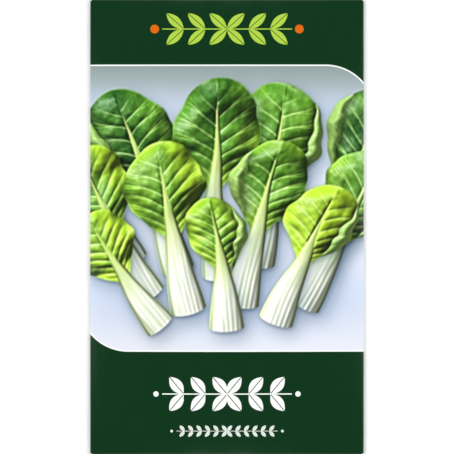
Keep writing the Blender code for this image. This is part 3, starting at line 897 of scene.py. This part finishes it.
# They are strewn over the heap's ellipse along a spiral of even gaps, closer to its middle. Then they
# are poured: at each step every seed sinks a little, and two that touch push each other apart.
POUR_STEPS, SINK, PUSH, ROOM = 400, 0.01 * MM, 0.3, 1.01
CROWDING = 0.62  # 0.5 would strew them evenly
strewn = np.arange(SEED_COUNT) + 0.5
bearing = strewn * math.pi * (3 - math.sqrt(5))
off_middle = (strewn / SEED_COUNT) ** CROWDING
seed_middles = heap_middle + np.stack([
    np.cos(bearing) * off_middle * heap_reach[0],
    np.sin(bearing) * off_middle * heap_reach[1],
    seed_draw.uniform(-0.5, 0.5, SEED_COUNT) * SEED_ACROSS,
], -1)
itself = SEED_ACROSS * np.eye(SEED_COUNT)
floor, ceiling = heap_low[2] + SEED_ACROSS / 2, heap_high[2] - SEED_ACROSS / 2
for step in range(POUR_STEPS):
    seed_middles[:, 2] -= SINK
    apart = seed_middles[:, None] - seed_middles
    distance = np.linalg.norm(apart, axis=-1) + itself
    push = np.maximum(SEED_ACROSS * ROOM / distance - 1, 0) * PUSH
    seed_middles += (apart * push[..., None]).sum(1)
    within = (seed_middles - heap_middle)[:, :2] / heap_reach[:2]
    within /= np.maximum(np.linalg.norm(within, axis=-1, keepdims=True), 1)
    seed_middles[:, :2] = heap_middle[:2] + within * heap_reach[:2]
    seed_middles[:, 2] = np.clip(seed_middles[:, 2], floor, ceiling)
distance = np.linalg.norm(seed_middles[:, None] - seed_middles, axis=-1) + itself
nearest = distance.min(1)

# A seed: a ball of rings from pole to pole, flattened, with a shallow groove down one side, whose
# depth is a bell curve round it
RINGS, SPOKES = 7, 8
BREADTH, THICKNESS = 0.94, 0.90  # of its length
GROOVE, GROOVE_SHARPNESS = 0.08, 6
polar = np.linspace(0, np.pi, RINGS + 1)[1:-1]
spoke = np.arange(SPOKES) * 2 * np.pi / SPOKES
ring = np.stack([
    np.outer(np.sin(polar), np.cos(spoke)),
    np.outer(np.sin(polar), np.sin(spoke)) * BREADTH,
    np.outer(np.cos(polar), np.ones(SPOKES)) * THICKNESS,
], -1).reshape(-1, 3)
ball = np.concatenate([ring, [[0, 0, THICKNESS], [0, 0, -THICKNESS]]])
off_groove = np.arctan2(ball[:, 1], ball[:, 0])
ball = ball * (1 - GROOVE * np.exp(-(off_groove**2) * GROOVE_SHARPNESS))[:, None]
level, spot = np.meshgrid(np.arange(RINGS - 2), np.arange(SPOKES), indexing="ij")
onward = (spot + 1) % SPOKES
band = np.stack([
    level * SPOKES + spot,
    (level + 1) * SPOKES + spot,
    (level + 1) * SPOKES + onward,
    level * SPOKES + onward,
], -1).reshape(-1, 4)
first, after = np.arange(SPOKES), (np.arange(SPOKES) + 1) % SPOKES
last = (RINGS - 2) * SPOKES
cap = np.stack([np.full(SPOKES, len(ring)), first, after], -1)
base_cap = np.stack([np.full(SPOKES, len(ring) + 1), last + after, last + first], -1)

# Each lies its own way up, and is no larger than the distance to the nearest other one leaves room for
pose = np.linalg.qr(seed_draw.normal(size=(SEED_COUNT, 3, 3)))[0]
pose = pose * np.sign(np.linalg.det(pose))[:, None, None]
radius = np.minimum(SEED_ACROSS * seed_draw.uniform(0.92, 1.0, SEED_COUNT), 0.995 * nearest) / 2
points = np.einsum("nij,kj->nki", pose, ball) * radius[:, None, None] + seed_middles[:, None]
shift = (np.arange(SEED_COUNT) * len(ball))[:, None, None]
faces = []
for block in (band, cap, base_cap):
    faces += (block + shift).reshape(-1, block.shape[1]).tolist()
seed_mesh = bpy.data.meshes.new("loose_seeds")
seed_mesh.from_pydata(points.reshape(-1, 3), [], faces)
seed_mesh.shade_smooth()
seeds = put("loose_seeds", seed_mesh)

# The dry coat: each seed has a tone of its own, and its skin is finely netted
SKIN_NET = 0.18 * MM
seed_tones = np.repeat(seed_draw.uniform(0, 1, SEED_COUNT), len(ball))
seed_tone = seed_mesh.attributes.new("seed_tone", "FLOAT", "POINT")
seed_tone.data.foreach_set("value", seed_tones.astype(np.float32))
tree, shader = new_material("dry_netted_seed_coat", seed_mesh)
grain = add(tree, "TexCoord").outputs["Object"]
tone = add(tree, "Attribute", attribute_name="seed_tone").outputs["Fac"]
coat = add(tree, "Mix", tone, A=ink("#2e1a14"), B=ink("#6d3a24"), data_type="RGBA")
net = add(tree, "TexVoronoi", Vector=grain, Scale=1 / SKIN_NET, feature="DISTANCE_TO_EDGE")
dust = add(tree, "MapRange", net, 0.0, 0.12, 0.35, 0.0)
coat = add(tree, "Mix", dust, A=coat, B=ink("#8a6a55"), data_type="RGBA")
skin = add(tree, "Bump", Strength=0.5, Distance=0.02 * MM, Height=net)
join(shader, {"Base Color": coat, "Roughness": 0.62, "Normal": skin})

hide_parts("seeds")
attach(seeds, "root")


# The studio
# A copy stand: the packet lies on a pale board under a long lens that looks straight down. A soft box
# stands at each of the four sides, so far out that the front throws none of them back at the lens.

BOARD_HALF, BOARD_LEVEL = 0.9, -0.02 * MM
board_corners = [
    (right * BOARD_HALF, far * BOARD_HALF, BOARD_LEVEL)
    for right, far in ((-1, -1), (1, -1), (1, 1), (-1, 1))
]
board_mesh = bpy.data.meshes.new("pale_board")
board_mesh.from_pydata(board_corners, [], [(0, 1, 2, 3)])
board = put("pale_board", board_mesh)
_, shader = new_material("matt_white_board", board_mesh)
join(shader, {"Base Color": ink("#f6f6f6"), "Roughness": 0.9, "Specular IOR Level": 0.1})

# The packet's height fills the view, and the crests of its end folds lie just outside it
CAMERA_DISTANCE = 1.2
OVERFILL = 1.004
camera_data = bpy.data.cameras.new("long_lens")
camera = put("long_lens", camera_data)
camera.location = (0, 0, CAMERA_DISTANCE + EDGE_LEVEL)
packet_height = envelope_high[1] - envelope_low[1]
camera_data.lens = camera_data.sensor_width * CAMERA_DISTANCE / packet_height * OVERFILL
camera_data.clip_start = 0.01
bpy.context.scene.camera = camera

BOX_WIDTH, BOX_HEIGHT = 0.9, 0.5
BOX_AWAY, BOX_LEVEL, BOX_TILT = 0.95, 0.85, math.radians(-48)
for name, turn, watts in (
    ("left_box", 90, 9.0),
    ("right_box", 270, 8.1),
    ("far_box", 0, 5.1),
    ("near_box", 180, 4.1),
):
    lamp_data = bpy.data.lights.new(name, "AREA")
    lamp_data.shape = "RECTANGLE"
    lamp_data.size, lamp_data.size_y = BOX_WIDTH, BOX_HEIGHT
    lamp_data.energy = watts
    lamp = put(name, lamp_data)
    way = math.radians(turn)
    lamp.location = (-math.sin(way) * BOX_AWAY, math.cos(way) * BOX_AWAY, BOX_LEVEL)
    lamp.rotation_euler = (BOX_TILT, 0, way)

# The studio's walls are pale and its ceiling dark, so the varnish has something to mirror from the
# side and nothing straight above
WALL_TOP, WALL, CEILING = 0.7, 1.0, 0.04
world = bpy.data.worlds.new("studio_walls")
world.use_nodes = True
tree = world.node_tree
upward = add(tree, "SeparateXYZ", add(tree, "TexCoord").outputs["Generated"]).outputs["Z"]
brightness = add(tree, "MapRange", upward, 0.0, WALL_TOP, WALL, CEILING, interpolation_type="SMOOTHSTEP")
join(tree.nodes["Background"], {"Strength": brightness, "Color": (1, 1, 1, 1)})
bpy.context.scene.world = world
bpy.context.scene.view_settings.view_transform = "Standard"
